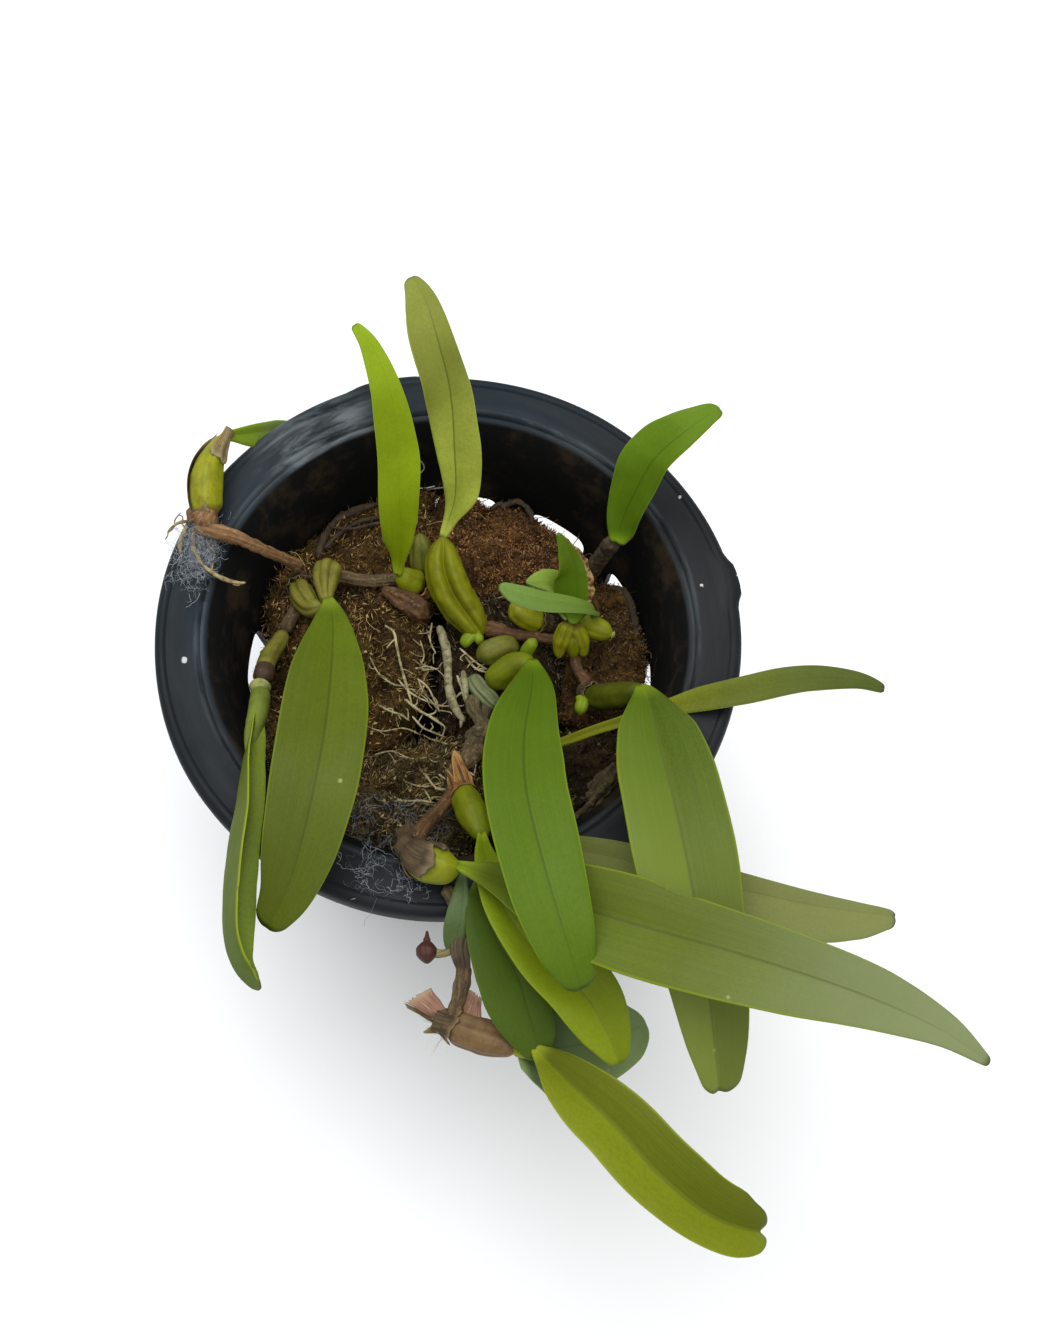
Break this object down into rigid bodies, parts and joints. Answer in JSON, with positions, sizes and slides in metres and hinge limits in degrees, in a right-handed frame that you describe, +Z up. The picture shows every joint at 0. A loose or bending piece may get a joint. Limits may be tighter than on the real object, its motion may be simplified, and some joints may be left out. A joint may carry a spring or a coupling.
{
  "type": "potted bulbophyllum orchid",
  "caption": "Creeping bulbophyllum orchid with strap-shaped leaves on pseudobulbs, rooted on husk chunks in a slotted black orchid pot.",
  "frame": {"origin": "middle of the pot's base, on the surface it stands on", "axes": "+Z up the pot's axis, +X to the right and +Y to the far side of the picture"},
  "size_m": [0.239, 0.2608, 0.1976],
  "materials": {
    "pot_plastic": "satin",
    "husk": "matte",
    "leaf": "satin",
    "bulb": "satin",
    "rhizome": "matte",
    "sheath": "matte",
    "root": "matte",
    "dry_shoot": "matte"
  },
  "bodies": {
    "root": {"pot": "pot_plastic", "husk_left": "husk", "husk_far": "husk", "husk_centre": "husk", "husk_right": "husk", "husk_lower_right": "husk", "husk_near": "husk", "bulb_far_left": "bulb", "bulb_outer_left": "bulb", "bulb_back_small": "bulb", "bulb_back_olive": "bulb", "bulb_back_ribbed": "bulb", "bulb_tuft_left": "bulb", "bulb_tuft_near": "bulb", "bulb_tuft_right": "bulb", "bulb_centre_old": "bulb", "bulb_centre": "bulb", "bulb_centre_withered": "bulb", "bulb_right": "bulb", "bulb_hidden_right": "bulb", "bulb_hidden_near": "bulb", "bulb_near_inner": "bulb", "bulb_near_rim": "bulb", "bulb_withered": "dry_shoot", "bulb_left": "bulb", "bud_back": "bulb", "bud_centre": "bulb", "bud_withered": "dry_shoot", "stem_back_right": "sheath", "leaf_far_left": "leaf", "leaf_left": "leaf", "leaf_outer_left": "leaf", "leaf_back_narrow": "leaf", "leaf_back_tall": "leaf", "leaf_back_right": "leaf", "leaf_centre": "leaf", "leaf_right": "leaf", "leaf_long": "leaf", "leaf_right_slender": "leaf", "leaf_right_low": "leaf", "leaf_near_channelled": "leaf", "leaf_near_outermost": "leaf", "leaf_near_dark": "leaf", "leaf_near_hidden": "leaf", "leaf_near_under": "leaf", "leaf_torn": "leaf", "leaf_pale_blade": "leaf", "leaf_tuft_behind": "leaf", "rhizome_far_left": "rhizome", "rhizome_left": "rhizome", "rhizome_middle": "rhizome", "rhizome_centre": "rhizome", "rhizome_near": "rhizome", "rhizome_hanging": "rhizome", "sheath_near_rim": "sheath", "sheath_near_inner": "sheath", "sheath_hanging": "sheath", "roots_on_husk": "root", "roots_far_left": "root"}
  },
  "joints": []
}
